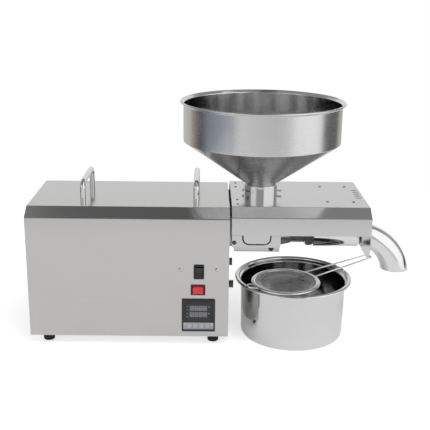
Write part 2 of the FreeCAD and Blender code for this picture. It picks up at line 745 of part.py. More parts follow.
def cover_end_plate():
    """Far end of the cover, deeper than its sides and round at the lower corners."""
    x = (COVER_END - END_PLATE_THICKNESS, COVER_END)
    plate = hood(COVER_SLOPE, COVER_BEND_Z, COVER_TOP, END_PLATE_BOTTOM, 0, x)
    lower = edges_along(plate, V(1, 0, 0), lambda c: c.z < END_PLATE_BOTTOM + 1)
    plate = plate.makeFillet(25.0, lower)
    return plate.cut(cyl_x(x, 0, AXIS_Z, 13.5))


def elbow_loft(shrink):
    """Bent cone through circles along a quarter turn; shrink takes off the wall."""
    circles = []
    centre = V(ELBOW_START_X, 0, AXIS_Z - ELBOW_RADIUS)
    steps = 12
    for i in range(-1, steps + 1):
        share = i / steps
        a = math.radians(90 * share)
        place = centre + V(math.sin(a), 0, math.cos(a)) * ELBOW_RADIUS
        r = ELBOW_R[0] + (ELBOW_R[1] - ELBOW_R[0]) * share - shrink
        circles.append(Part.Wire(Part.makeCircle(r, place, V(math.cos(a), 0, -math.sin(a)))))
    return Part.makeLoft(circles, True, False)


def discharge_elbow():
    """Polished pipe that turns the press cake down, welded to the end plate."""
    pipe = elbow_loft(0).cut(elbow_loft(ELBOW_WALL))
    keep = box((COVER_END, COVER_END + 120), (-40, 40), (OUTLET_Z, 200))
    return pipe.common(keep)


def feed_socket():
    """Tube welded through the cover's top, which takes the hopper's spout."""
    tube = cyl_z(HOPPER_X, 0, SOCKET_Z, SOCKET_R).cut(cyl_z(HOPPER_X, 0, SOCKET_Z, SOCKET_BORE_R))
    rim = [e for e in tube.Edges if abs(e.CenterOfMass.z - SOCKET_Z[1]) < 0.1 and e.Length > 2 * math.pi * 24]
    tube = tube.makeFillet(0.8, rim)
    return tube.cut(cyl_x((HOPPER_X - 40, HOPPER_X + 40), 0, SOCKET_SCREW_Z, SOCKET_SCREW_R + SHAFT_GAP))


def socket_screws():
    """Two radial set screws that hold the spout, the right one with a longer stem."""
    screws = []
    for side, stem in ((-1, 0.6), (1, 5.0)):
        near = HOPPER_X + side * SOCKET_BORE_R
        far = HOPPER_X + side * (SOCKET_R + stem)
        shank = cyl_x((min(near, far), max(near, far)), 0, SOCKET_SCREW_Z, SOCKET_SCREW_R)
        screws.append(shank.fuse(button_screw(V(far, 0, SOCKET_SCREW_Z), V(side, 0, 0), 2.2, 1.4, 1.0, 0.4)))
    return screws


def cover_screws():
    return [button_screw(V(x, y, COVER_TOP), V(0, 0, 1), 1.8, 0.9, 1.0, 5) for x, y in COVER_SCREW_PLACES]


def shield_screws():
    return [button_screw(V(x, y, COVER_TOP), V(0, 0, 1), 2.8, 1.3, 1.5, 5) for x, y in SHIELD_SCREW_PLACES]


def heat_shield():
    """Hat-shaped sheet under the cover's top, over the heater."""
    top = COVER_TOP - SHEET
    wall = 0.8
    upper = [(-52, top), (-34, top), (-28, 190), (28, 190), (34, top), (52, top)]
    steep = 2 * wall
    lower = [(52, top - wall), (33 + steep, top - wall), (27 + steep, 190 - wall),
             (-27 - steep, 190 - wall), (-33 - steep, top - wall), (-52, top - wall)]
    shield = prism_x(upper + lower, (132, 186))
    for sx, sy in SHIELD_SCREW_PLACES:
        shield = shield.cut(cyl_z(sx, sy, (195, 210), 1.6))
    return shield


# ---- hopper, pot and strainer ----
def hopper():
    """Spun funnel: straight spout, cone, upright wall, and a lip that flares into a rolled edge."""
    wall = 1.0
    lip = HOPPER_RIM_Z
    bead = 1.5
    profile = [(SPOUT_R, SPOUT_BOTTOM_Z), (SPOUT_R, SPOUT_TOP_Z), (HOPPER_R, HOPPER_CONE_Z),
               (HOPPER_R, lip - 4.2), (HOPPER_RIM_R - 2.0, lip - 2.2), (HOPPER_RIM_R - bead, lip - 0.2),
               (HOPPER_RIM_R - 2.8, lip - 0.6), (HOPPER_R - wall, lip - 3.8),
               (HOPPER_R - wall, HOPPER_CONE_Z + 0.3), (SPOUT_R - wall, SPOUT_TOP_Z + 0.3),
               (SPOUT_R - wall, SPOUT_BOTTOM_Z)]
    bowl = turned_z(profile, HOPPER_X, 0)
    edge = Part.makeTorus(HOPPER_RIM_R - bead, bead, V(HOPPER_X, 0, lip - 1.2))
    return bowl.fuse(edge)


def oil_pot():
    """Spun pot: wall with a slight draft, a short flare and a lip rolled into a bead."""
    x, y = POT_CENTRE
    bead = 2.0
    roll = 3.0
    lip_r = POT_RIM_R - bead
    lip_z = POT_RIM_Z - 0.1
    roll_centre = (POT_MOUTH_R + roll, lip_z - roll)
    foot_centre = (POT_FOOT_R - POT_CORNER, POT_CORNER)
    outer = [(0, 0)] + arc_points(foot_centre, POT_CORNER, -90, 0, 6)
    outer += [(POT_R, POT_FLARE_Z)] + arc_points(roll_centre, roll - POT_WALL, 180, 90, 6)
    outer += [(lip_r, lip_z - POT_WALL)]
    inner = [(lip_r, lip_z)] + arc_points(roll_centre, roll, 90, 180, 6)
    inner += [(POT_R - POT_WALL, POT_FLARE_Z + 0.2)]
    inner += arc_points(foot_centre, POT_CORNER - POT_WALL, 0, -90, 6) + [(0, POT_WALL)]
    pot = turned_z(outer + inner, x, y)
    return pot.fuse(Part.makeTorus(lip_r, bead, V(x, y, POT_RIM_Z - bead)))


def strainer_point(along, across, z):
    """Point of the strainer's handle: along it from the hoop's centre, and across it."""
    a = math.radians(STRAINER_HANDLE_ANGLE)
    x = STRAINER_CENTRE[0] + along * math.cos(a) - across * math.sin(a)
    y = STRAINER_CENTRE[1] + along * math.sin(a) + across * math.cos(a)
    return (x, y, z)


def strainer_frame():
    """Hoop, double wire handle and the bent wire loop that rests on the pot's rim."""
    x, y = STRAINER_CENTRE
    low = STRAINER_Z
    profile = [(STRAINER_R - 6.2, low + 1.4), (STRAINER_R - 4.5, low), (STRAINER_R - 1.5, low),
               (STRAINER_R, low + 1.2), (STRAINER_R, low + 2.4), (STRAINER_R - 1.5, low + 3.4),
               (STRAINER_R - 4.5, low + 3.2), (STRAINER_R - 6.2, low + 2.2)]
    frame = turned_z(profile, x, y)
    level = low + HANDLE_WIRE_R + 0.3
    tip = level + 2.1
    start = STRAINER_R - 3.0
    root_gap, end_gap = STRAINER_HANDLE_HALF_GAP
    bend_centre = (STRAINER_HANDLE_REACH - HANDLE_BEND_R, end_gap - HANDLE_BEND_R)
    bend = arc_points(bend_centre, HANDLE_BEND_R, 90, 0, 3)
    path = [strainer_point(start, root_gap, level)]
    path += [strainer_point(along, across, tip) for along, across in bend]
    path += [strainer_point(along, -across, tip) for along, across in reversed(bend)]
    path += [strainer_point(start, -root_gap, level)]
    frame = frame.fuse(rod(path, HANDLE_WIRE_R))
    loop = [(x + dx, y + dy, low + REST_WIRE_R + 0.2) for dx, dy in REST_LOOP]
    return frame.fuse(rod(loop, REST_WIRE_R))


def strainer_mesh():
    """Shallow dish of wire cloth, modelled as one thin skin."""
    x, y = STRAINER_CENTRE
    skin = 0.6
    edge_z = STRAINER_Z + 1.5
    top_r = STRAINER_R - 6.3
    throat_r = 37.5
    depth = 24.0
    ball_r = (throat_r ** 2 + depth ** 2) / (2 * depth)
    edge_angle = math.degrees(math.asin(throat_r / ball_r))
    centre_z = STRAINER_Z - depth + ball_r
    outer = arc_points((0, centre_z), ball_r, -90, -90 + edge_angle, 14)
    inner = arc_points((0, centre_z), ball_r - skin, -90 + edge_angle, -90, 14)
    profile = outer + [(top_r, edge_z - skin), (top_r, edge_z)] + inner
    return turned_z(profile, x, y)


# ---- controls ----
def rocker_places():
    """Centre (x, z), width and height of the two switches."""
    return [(DIRECTION_CENTRE, ROCKER_SHORT, ROCKER_LONG), (HEATER_SWITCH_CENTRE, ROCKER_LONG, ROCKER_SHORT)]


def switch_frame(centre, width, height):
    """Snap-in frame with a raised bezel, the body behind the panel and the rocker's well."""
    face = -HALF_DEPTH
    cx, cz = centre
    bezel = box((cx - width / 2, cx + width / 2), (face - 2.0, face), (cz - height / 2, cz + height / 2))
    bezel = bezel.makeFillet(1.2, edges_along(bezel, V(0, 1, 0), lambda c: True))
    body = box((cx - width / 2 + 1.2, cx + width / 2 - 1.2), (face, face + 16),
               (cz - height / 2 + 1.2, cz + height / 2 - 1.2))
    well = box((cx - width / 2 + 2.2, cx + width / 2 - 2.2), (face - 3, face + 9),
               (cz - height / 2 + 2.2, cz + height / 2 - 2.2))
    return bezel.fuse(body).cut(well).cut(rocker_pivot(centre, width, height, SHAFT_GAP))


def rocker_pivot(centre, width, height, extra):
    """Round pin across the rocker, which turns in the frame's walls; extra widens it to its holes."""
    cx, cz = centre
    reach = min(width, height) / 2 - 1.4 + extra
    y = -HALF_DEPTH + ROCKER_PIVOT_DEPTH
    if height > width:
        return cyl_x((cx - reach, cx + reach), y, cz, 1.1 + extra)
    return cyl_z(cx, y, (cz - reach, cz + reach), 1.1 + extra)


def rocker(centre, width, height):
    """Rocker with two flat halves that meet at a shallow ridge line, and its pivot pin."""
    cx, cz = centre
    tall = height > width
    half_long = max(width, height) / 2 - 3.1
    half_short = min(width, height) / 2 - 2.5
    face = -HALF_DEPTH
    section = [(-half_long, -4.6), (0, -2.6), (half_long, -4.6), (half_long - 1.0, 2.0), (0, 5.5),
               (-half_long + 1.0, 2.0)]
    pivot = rocker_pivot(centre, width, height, 0)
    if tall:
        wire = [(cx - half_short, face + d, cz + s) for s, d in section]
        return closed_face(wire).extrude(V(2 * half_short, 0, 0)).fuse(pivot)
    wire = [(cx + s, face + d, cz - half_short) for s, d in section]
    return closed_face(wire).extrude(V(0, 0, 2 * half_short)).fuse(pivot)


def key_centre(i):
    return CONTROLLER_CENTRE[0] + (i - (KEY_COUNT - 1) / 2) * KEY_PITCH


def controller_case():
    """Square bezel on the panel, the case behind it, and wells for the window and the keys."""
    cx, cz = CONTROLLER_CENTRE
    half = CONTROLLER_SIZE / 2
    bezel = box((cx - half, cx + half), (CONTROLLER_FACE, -HALF_DEPTH), (cz - half, cz + half))
    bezel = bezel.makeFillet(1.6, edges_along(bezel, V(0, 1, 0), lambda c: True))
    front = [e for e in bezel.Edges if abs(e.CenterOfMass.y - CONTROLLER_FACE) < 0.01]
    bezel = bezel.makeChamfer(0.9, front)
    case = box((cx - 22.2, cx + 22.2), (-HALF_DEPTH, -HALF_DEPTH + 70), (cz - 22.2, cz + 22.2))
    shape = bezel.fuse(case)
    wx, wz = window_span()
    shape = shape.cut(box(wx, (CONTROLLER_FACE - 1, CONTROLLER_FACE + 1.6), wz))
    for i in range(KEY_COUNT):
        kx = key_centre(i)
        shape = shape.cut(box((kx - KEY_SIZE[0] / 2 - 0.3, kx + KEY_SIZE[0] / 2 + 0.3),
                              (CONTROLLER_FACE - 1, CONTROLLER_FACE + KEY_DEPTH + 1.0),
                              (KEY_Z - KEY_SIZE[1] / 2 - 0.3, KEY_Z + KEY_SIZE[1] / 2 + 0.3)))
    return shape


def window_span():
    cx = CONTROLLER_CENTRE[0]
    return (cx - 18.5, cx + 18.5), (38.5, 67.5)


def controller_window():
    """Dark display pane, set a little below the bezel's face."""
    wx, wz = window_span()
    return box((wx[0] + 0.2, wx[1] - 0.2), (CONTROLLER_FACE + 0.5, CONTROLLER_FACE + 1.6),
               (wz[0] + 0.2, wz[1] - 0.2))


def key(i):
    kx = key_centre(i)
    pad = box((kx - KEY_SIZE[0] / 2, kx + KEY_SIZE[0] / 2),
              (CONTROLLER_FACE - 0.5, CONTROLLER_FACE + KEY_DEPTH - 0.5),
              (KEY_Z - KEY_SIZE[1] / 2, KEY_Z + KEY_SIZE[1] / 2))
    return pad.makeFillet(0.7, edges_along(pad, V(0, 1, 0), lambda c: True))


def panel_screws():
    toward = V(0, -1, 0)
    return [button_screw(V(x, -HALF_DEPTH, PANEL_SCREW_Z), toward, 2.8, 1.6, 1.6, 8) for x in PANEL_SCREW_X]


def power_inlet():
    """Three-pin mains inlet in the back panel, with its shroud and pins."""
    cx, cz = INLET_CENTRE
    back = HALF_DEPTH
    flange = box((cx - 20, cx + 20), (back, back + 2.5), (cz - 13, cz + 13))
    body = box((cx - 13.8, cx + 13.8), (back - 22, back), (cz - 9.8, cz + 9.8))
    well = box((cx - 11.8, cx + 11.8), (back - 16, back + 3), (cz - 7.8, cz + 7.8))
    inlet = flange.fuse(body).cut(well)
    for px, pz in ((-6.5, -1), (0, 2.5), (6.5, -1)):
        inlet = inlet.fuse(box((cx + px - 1, cx + px + 1), (back - 17, back - 2), (cz + pz - 2, cz + pz + 2)))
    return inlet


def cable_glands():
    """Ribbed glands of the heater and sensor leads on the press end panel."""
    glands = []
    for (y, z), reach in zip(GLAND_PLACES, (6.8, 9.0)):
        gland = cyl_x((0, reach), y, z, 6.0).fuse(cyl_x((-8, 0), y, z, 4.0))
        for i in range(int(reach // 2.4)):
            x = 1.0 + 2.4 * i
            gland = gland.cut(ring_x((x, x + 1.1), y, z, 7.0, 5.2))
        glands.append(gland.cut(cyl_x((-9, reach + 1), y, z, 2.2)))
    return glands


def build():
    export("base_pan", base_pan())
    export("housing_shell", housing_shell())
    export("left_end_panel", left_end_panel())
    export("right_end_panel", right_end_panel())
    export("end_panel_screws", *end_panel_screws())
    export("rubber_feet", *at_feet(rubber_foot))
    export("foot_screws", *at_feet(foot_screw))
    export("lift_handle_left", lift_handle(HANDLE_X[0]))
    export("lift_handle_right", lift_handle(HANDLE_X[1]))
    export("handle_nuts", *[handle_nut(x, side * HANDLE_HALF_SPAN) for x in HANDLE_X for side in (-1, 1)])
    export("motor_body", motor_body())
    export("motor_end_bell", motor_end_bell())
    export("motor_cradle", motor_cradle())
    export("motor_shaft", motor_shaft())
    export("motor_fan", motor_fan())
    export("motor_pinion", motor_pinion())
    export("gearbox_case", gearbox_case())
    export("gearbox_lid", gearbox_lid())
    export("bearings", *bearings())
    export("idler_shaft", idler_shaft())
    export("idler_gears", idler_gears())
    export("output_gear", output_gear())
    export("output_spindle", output_spindle())
    export("mount_flange", mount_flange())
    export("flange_bolts", *flange_bolts())
    export("press_block", press_block())
    export("press_rings", *press_rings())
    export("collar_nut", collar_nut())
    export("press_nozzle", press_nozzle())
    export("heater_band", heater_band())
    export("press_screw", press_screw())
    export("head_tray_front", head_tray(-1))
    export("head_tray_back", head_tray(1))
    export("head_screws", *head_screws())
    export("seam_pad", seam_pad())
    export("cover_shell", cover_shell())
    export("cover_end_plate", cover_end_plate())
    export("discharge_elbow", discharge_elbow())
    export("feed_socket", feed_socket())
    export("socket_screws", *socket_screws())
    export("cover_screws", *cover_screws())
    export("shield_screws", *shield_screws())
    export("heat_shield", heat_shield())
    export("hopper", hopper())
    export("oil_pot", oil_pot())
    export("strainer_frame", strainer_frame())
    export("strainer_mesh", strainer_mesh())
    export("controller_case", controller_case())
    export("controller_window", controller_window())
    for i in range(KEY_COUNT):
        export("key_" + str(i + 1), key(i))
    (direction, d_width, d_height), (heater, h_width, h_height) = rocker_places()
    export("direction_frame", switch_frame(direction, d_width, d_height))
    export("direction_rocker", rocker(direction, d_width, d_height))
    export("heater_frame", switch_frame(heater, h_width, h_height))
    export("heater_rocker", rocker(heater, h_width, h_height))
    export("panel_screws", *panel_screws())
    export("power_inlet", power_inlet())
    export("cable_glands", *cable_glands())


build()
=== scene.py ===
"""Looks of the screw oil press: finishes of every CAD node, spun and bent pieces as smooth meshes,
the woven strainer, the controller's readouts, and the studio round them.

Outlines and routes are in millimetres, and the objects made from them in metres."""

import json
import math

import bpy
import mathutils
import numpy as np
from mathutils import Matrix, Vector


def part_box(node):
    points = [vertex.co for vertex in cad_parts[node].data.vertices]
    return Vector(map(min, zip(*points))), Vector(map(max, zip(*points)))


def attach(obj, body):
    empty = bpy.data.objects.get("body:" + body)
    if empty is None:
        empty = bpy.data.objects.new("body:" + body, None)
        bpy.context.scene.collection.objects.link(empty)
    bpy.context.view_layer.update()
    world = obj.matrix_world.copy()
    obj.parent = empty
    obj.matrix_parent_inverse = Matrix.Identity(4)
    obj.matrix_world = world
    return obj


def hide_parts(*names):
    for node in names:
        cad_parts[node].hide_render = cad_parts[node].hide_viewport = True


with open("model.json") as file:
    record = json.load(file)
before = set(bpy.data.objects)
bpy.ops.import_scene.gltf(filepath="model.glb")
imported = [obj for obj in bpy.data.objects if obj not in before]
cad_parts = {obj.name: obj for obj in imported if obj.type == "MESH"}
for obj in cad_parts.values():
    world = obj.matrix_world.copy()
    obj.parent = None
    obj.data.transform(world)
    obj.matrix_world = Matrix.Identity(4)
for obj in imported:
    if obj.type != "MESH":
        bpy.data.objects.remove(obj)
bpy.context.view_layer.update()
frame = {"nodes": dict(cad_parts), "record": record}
MM = 0.001
SEAM_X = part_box("right_end_panel")[1].x
FRONT_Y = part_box("housing_shell")[0].y


# ---------------------------------------------------------------- node helpers
def add(tree, kind, inputs=None, **settings):
    """Adds a shader node; an input value that is a socket is linked, any other is set."""
    node = tree.nodes.new(kind)
    for name, value in settings.items():
        setattr(node, name, value)
    for name, value in (inputs or {}).items():
        if isinstance(value, bpy.types.NodeSocket):
            tree.links.new(value, node.inputs[name])
        else:
            node.inputs[name].default_value = value
    return node


def start_material(name):
    """Empty node material with its shader; returns the material, its tree and the shader."""
    material = bpy.data.materials.new(name)
    material.use_nodes = True
    tree = material.node_tree
    return material, tree, tree.nodes["Principled BSDF"]


def object_coordinates(tree, scale=(1, 1, 1)):
    """Object coordinates, stretched by scale."""
    place = add(tree, "ShaderNodeTexCoord")
    stretched = add(tree, "ShaderNodeMapping", {"Vector": place.outputs["Object"], "Scale": scale})
    return stretched.outputs["Vector"]


def noise(tree, vector, scale, detail=4.0, roughness=0.55):
    """Fractal noise between 0 and 1."""
    return add(tree, "ShaderNodeTexNoise", {"Vector": vector, "Scale": scale, "Detail": detail,
                                            "Roughness": roughness}).outputs["Fac"]


def remap(tree, value, low, high, from_low=0.0, from_high=1.0):
    """Takes from_low..from_high to low..high in a straight line, held at both ends."""
    return add(tree, "ShaderNodeMapRange", {"Value": value, "From Min": from_low, "From Max": from_high,
                                            "To Min": low, "To Max": high}).outputs["Result"]


def calc(tree, operation, first, second=0.0):
    """One arithmetic step; each input is a socket or a number."""
    return add(tree, "ShaderNodeMath", {0: first, 1: second}, operation=operation).outputs[0]


def blend_colours(tree, factor, first, second):
    """Colour from first (factor 0) to second (factor 1)."""
    node = add(tree, "ShaderNodeMix", data_type="RGBA")
    for name, value in (("Factor", factor), ("A", first), ("B", second)):
        socket = next(s for s in node.inputs if s.name == name and s.enabled)
        if isinstance(value, bpy.types.NodeSocket):
            tree.links.new(value, socket)
        else:
            socket.default_value = value
    return next(s for s in node.outputs if s.enabled)


def ramp(tree, factor, stops, smooth=True):
    """Colour ramp; stops are (place, grey level or colour), eased between or straight."""
    node = add(tree, "ShaderNodeValToRGB", {"Fac": factor})
    band = node.color_ramp
    band.interpolation = "EASE" if smooth else "LINEAR"
    while len(band.elements) < len(stops):
        band.elements.new(0.5)
    for element, (place, level) in zip(band.elements, stops):
        element.position = place
        element.color = (level, level, level, 1.0) if isinstance(level, float) else tuple(level) + (1.0,)
    return node.outputs["Color"]


def bump(tree, height, strength, distance):
    """Normal tilted by a height, whose full range is distance metres."""
    relief = add(tree, "ShaderNodeBump", {"Height": height, "Strength": strength, "Distance": distance})
    return relief.outputs["Normal"]


def grey(level, warm=0.0):
    """Opaque grey with a small warm or cool shift."""
    return (level * (1 + warm), level, level * (1 - warm), 1.0)


# ---------------------------------------------------------------- finishes
def brushed_sheet(name, level, warm=0.0, rough=0.13, along=(3.0, 700.0, 700.0)):
    """Stainless sheet with long fine grain: streaks in brightness, roughness and height."""
    material, tree, shader = start_material(name)
    grain = noise(tree, object_coordinates(tree, along), 1.0, 3.0, 0.6)
    clouds = noise(tree, object_coordinates(tree), 14.0, 4.0, 0.5)
    shader.inputs["Metallic"].default_value = 1.0
    mottled = calc(tree, "ADD", calc(tree, "MULTIPLY", grain, 0.6), calc(tree, "MULTIPLY", clouds, 0.4))
    tone = blend_colours(tree, mottled, grey(level * 0.93, warm), grey(level * 1.06, warm))
    tree.links.new(tone, shader.inputs["Base Color"])
    streak = remap(tree, grain, rough - 0.03, rough + 0.04)
    tree.links.new(calc(tree, "ADD", streak, remap(tree, clouds, -0.02, 0.02)), shader.inputs["Roughness"])
    tree.links.new(bump(tree, grain, 0.06, 0.0002), shader.inputs["Normal"])
    return material


def polished_steel(name, level, rough=0.08, rings=None, warm=0.0):
    """Mirror steel with faint smudges and, on spun pieces, fine turning lines round the Z axis."""
    material, tree, shader = start_material(name)
    shader.inputs["Metallic"].default_value = 1.0
    smudge = noise(tree, object_coordinates(tree), 22.0, 5.0, 0.6)
    tone = blend_colours(tree, smudge, grey(level * 0.96, warm), grey(level * 1.03, warm))
    tree.links.new(tone, shader.inputs["Base Color"])
    wear = remap(tree, smudge, rough * 0.7, rough * 1.35)
    if rings is not None:
        lines = noise(tree, object_coordinates(tree, (0.0, 0.0, rings)), 1.0, 2.0, 0.5)
        wear = calc(tree, "ADD", wear, remap(tree, lines, -rough * 0.2, rough * 0.3))
        tree.links.new(bump(tree, lines, 0.04, 0.0001), shader.inputs["Normal"])
    tree.links.new(wear, shader.inputs["Roughness"])
    return material


def cast_metal(name, level, grain_scale=700.0, rough=0.42, warm=0.0):
    """Cast or machined metal with a fine all-round grain."""
    material, tree, shader = start_material(name)
    shader.inputs["Metallic"].default_value = 1.0
    place = object_coordinates(tree)
    grain = noise(tree, place, grain_scale, 3.0, 0.6)
    patches = noise(tree, place, 40.0, 3.0, 0.5)
    tone = blend_colours(tree, patches, grey(level * 0.85, warm), grey(level * 1.1, warm))
    tree.links.new(tone, shader.inputs["Base Color"])
    tree.links.new(remap(tree, grain, rough - 0.08, rough + 0.1), shader.inputs["Roughness"])
    tree.links.new(bump(tree, grain, 0.2, 0.0001), shader.inputs["Normal"])
    return material


def moulded_plastic(name, colour, rough=0.45, glow=0.0):
    """Moulded plastic with a fine spark-eroded grain; glow lights it from within."""
    material, tree, shader = start_material(name)
    place = object_coordinates(tree)
    grain = noise(tree, place, 1800.0, 2.0, 0.6)
    clouds = noise(tree, place, 60.0, 3.0, 0.5)
    darker = tuple(c * 0.8 for c in colour) + (1.0,)
    tone = blend_colours(tree, clouds, darker, tuple(colour) + (1.0,))
    tree.links.new(tone, shader.inputs["Base Color"])
    tree.links.new(remap(tree, clouds, rough - 0.06, rough + 0.08), shader.inputs["Roughness"])
    tree.links.new(bump(tree, grain, 0.2, 0.00006), shader.inputs["Normal"])
    if glow:
        tree.links.new(tone, shader.inputs["Emission Color"])
        shader.inputs["Emission Strength"].default_value = glow
    return material


def case_plastic(name):
    """Black controller case with a silver strip round the keys, placed by height on its face; the strip
    carries a painted reflection, darker and bluer at its bottom and paler at its top.
    """
    material, tree, shader = start_material(name)
    low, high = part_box("key_1")[0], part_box("key_4")[1]
    bottom, top = low.z - 2.6 * MM, high.z + 1.6 * MM
    beside, face = 5.2 * MM, FRONT_Y - 4.4 * MM
    place = add(tree, "ShaderNodeTexCoord").outputs["Object"]
    axes = add(tree, "ShaderNodeSeparateXYZ", {"Vector": place}).outputs
    inside = calc(tree, "GREATER_THAN", axes["Z"], bottom)
    for axis, test, limit in (("Z", "LESS_THAN", top), ("X", "GREATER_THAN", low.x - beside),
                              ("X", "LESS_THAN", high.x + beside), ("Y", "LESS_THAN", face)):
        inside = calc(tree, "MULTIPLY", inside, calc(tree, test, axes[axis], limit))
    clouds = noise(tree, place, 60.0, 3.0, 0.5)
    black = blend_colours(tree, clouds, grey(0.018), grey(0.03))
    # painted reflection: the silver strip runs from a dark, bluish grey at its bottom to a pale grey at its
    # top
    painted_reflection_fade = remap(tree, axes["Z"], 0.0, 1.0, bottom, top)
    silver = blend_colours(tree, painted_reflection_fade, (0.30, 0.34, 0.46, 1), (0.58, 0.60, 0.62, 1))
    tree.links.new(blend_colours(tree, inside, black, silver), shader.inputs["Base Color"])
    tree.links.new(remap(tree, clouds, 0.34, 0.46), shader.inputs["Roughness"])
    tree.links.new(bump(tree, noise(tree, place, 1500.0, 2.0), 0.15, 0.00006), shader.inputs["Normal"])
    return material


FINISH_OF_SLOT = {
    "sheet_steel": brushed_sheet("brushed stainless, housing", 0.60, 0.012),
    "cover_steel": brushed_sheet("brushed stainless, cover", 0.64, -0.002),
    "polished_steel": polished_steel("polished stainless", 0.80, 0.07),
    "spun_steel": polished_steel("spun stainless", 0.74, 0.09, 900.0),
    "machined_steel": cast_metal("machined steel", 0.42, 900.0, 0.3),
    "dark_steel": cast_metal("blackened steel", 0.10, 600.0, 0.45),
    "fastener_steel": polished_steel("bright screw steel", 0.62, 0.25),
    "cast_aluminium": cast_metal("cast aluminium", 0.55, 420.0, 0.5),
    "motor_paint": moulded_plastic("motor enamel", (0.05, 0.09, 0.14), 0.38),
    "motor_core": cast_metal("motor core laminations", 0.2, 500.0, 0.5),
    "rubber": moulded_plastic("black rubber", (0.015, 0.015, 0.015), 0.7),
    "black_plastic": moulded_plastic("black moulded plastic", (0.022, 0.022, 0.024)),
    "fan_plastic": moulded_plastic("grey fan plastic", (0.12, 0.12, 0.12), 0.5),
    "gland_plastic": moulded_plastic("grey gland plastic", (0.22, 0.22, 0.21), 0.35),
    "display_pane": moulded_plastic("smoked display pane", (0.03, 0.032, 0.034), 0.16),
    "key_grey": moulded_plastic("silver key plastic", (0.55, 0.57, 0.60), 0.4),
    "rocker_black": moulded_plastic("black rocker plastic", (0.03, 0.03, 0.036), 0.25),
    "rocker_red": moulded_plastic("red translucent rocker", (0.62, 0.03, 0.035), 0.22, 0.35),
    "red_frame": moulded_plastic("dark red switch frame", (0.10, 0.012, 0.014), 0.4),
    "mesh_steel": polished_steel("bright wire steel", 0.86, 0.22),
}
FINISH_OF_NODE = {"controller_case": case_plastic("controller case"),
                  "press_block": polished_steel("ground block steel", 0.58, 0.16),
                  "press_rings": polished_steel("turned ring steel", 0.62, 0.2)}


def dress_cad_nodes():
    """Gives each CAD node its own finish or that of its material slot."""
    slots = {s["node"]: s["material_slot"] for s in frame["record"]["subparts"]}
    for name, node in frame["nodes"].items():
        node.data.materials.clear()
        node.data.materials.append(FINISH_OF_NODE.get(name) or FINISH_OF_SLOT[slots[name]])


# ---------------------------------------------------------------- mesh helpers
def new_piece(name, points, faces, material, body, smooth=True):
    """Object from vertex and face arrays, riding on a body."""
    data = bpy.data.meshes.new(name)
    data.from_pydata(np.asarray(points).tolist(), [], faces)
    data.polygons.foreach_set("use_smooth", np.full(len(data.polygons), smooth))
    data.materials.append(material)
    data.update()
    piece = bpy.data.objects.new(name, data)
    bpy.context.scene.collection.objects.link(piece)
    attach(piece, body)
    return piece


def grid_faces(rows, columns, wrap_rows=False, wrap_columns=True, start=0):
    """Quads of a rows x columns grid of vertices numbered row by row from start."""
    i = np.arange(rows if wrap_rows else rows - 1)
    j = np.arange(columns if wrap_columns else columns - 1)
    a, b = np.meshgrid(i, j, indexing="ij")
    a2, b2 = (a + 1) % rows, (b + 1) % columns
    quads = np.stack([a * columns + b, a * columns + b2, a2 * columns + b2, a2 * columns + b], axis=-1)
    return (quads.reshape(-1, 4) + start).tolist()


def corner_arc(before, here, after, radius, steps, limit=math.inf):
    """Arc of a radius, tangent to the runs before-here and here-after; it starts at most limit from here."""
    back, ahead = before - here, after - here
    back, ahead = back / np.linalg.norm(back), ahead / np.linalg.norm(ahead)
    half = math.acos(np.clip(back @ ahead, -1, 1)) / 2
    reach = min(radius / math.tan(half), limit)
    middle = back + ahead
    centre = here + middle / np.linalg.norm(middle) * reach / math.cos(half)
    first, last = here + back * reach - centre, here + ahead * reach - centre
    turn = math.pi - 2 * half
    share = np.linspace(0, 1, steps + 1)[:, None]
    return centre + (np.sin((1 - share) * turn) * first + np.sin(share * turn) * last) / math.sin(turn)


def rounded_path(corners, steps=6):
    """Polyline through (u, v, radius) corners, each corner of some radius replaced by its tangent arc."""
    places = [np.array(c[:2], float) for c in corners]
    points = [places[0]]
    for k in range(1, len(corners) - 1):
        radius = corners[k][2]
        if radius == 0:
            points.append(places[k])
        else:
            points.extend(corner_arc(places[k - 1], places[k], places[k + 1], radius, steps))
    points.append(places[-1])
    return np.array(points)


def arc_path(centre, radius, start, end, steps):
    """Points centre + radius (cos t, sin t) for t from start to end degrees."""
    t = np.radians(np.linspace(start, end, steps + 1))
    return np.stack([centre[0] + radius * np.cos(t), centre[1] + radius * np.sin(t)], axis=-1)


def turned_rings(outline, centre, around):
    """Vertices x = cx + r cos t, y = cy + r sin t, z of an (r, z) outline, ring by ring."""
    t = np.linspace(0, 2 * math.pi, around, endpoint=False)
    r, z = outline[:, :1], outline[:, 1:]
    rings = np.stack([centre[0] + r * np.cos(t), centre[1] + r * np.sin(t), z + 0 * t], axis=-1)
    return rings.reshape(-1, 3)


def turned_loop(name, loop, centre, material, body, around=160):
    """Closed (r, z) loop turned about the vertical at centre."""
    faces = grid_faces(len(loop), around, wrap_rows=True)
    return new_piece(name, turned_rings(loop, centre, around) * MM, faces, material, body)


def turned_cup(name, profile, centre, material, body, around=160):
    """(r, z) profile that starts and ends on the axis, turned about it, with one vertex at each pole."""
    rim = profile[1:-1]
    points = turned_rings(rim, centre, around)
    poles = np.array([[centre[0], centre[1], profile[0, 1]], [centre[0], centre[1], profile[-1, 1]]])
    faces = grid_faces(len(rim), around)
    k, n = np.arange(around), len(points)
    last = n - around
    faces += np.stack([np.full(around, n), (k + 1) % around, k], axis=-1).tolist()
    faces += np.stack([np.full(around, n + 1), last + k, last + (k + 1) % around], axis=-1).tolist()
    return new_piece(name, np.concatenate([points, poles]) * MM, faces, material, body)


def smooth_route(corners, radius, steps=8):
    """Route of straight runs and tangent arcs of one radius through 3-D corners, in their order."""
    places = [np.array(c, float) for c in corners]
    points = [places[0]]
    for before, here, after in zip(places, places[1:], places[2:]):
        limit = 0.45 * min(np.linalg.norm(before - here), np.linalg.norm(after - here))
        points.extend(corner_arc(before, here, after, radius, steps, limit))
    points.append(places[-1])
    return np.array(points)


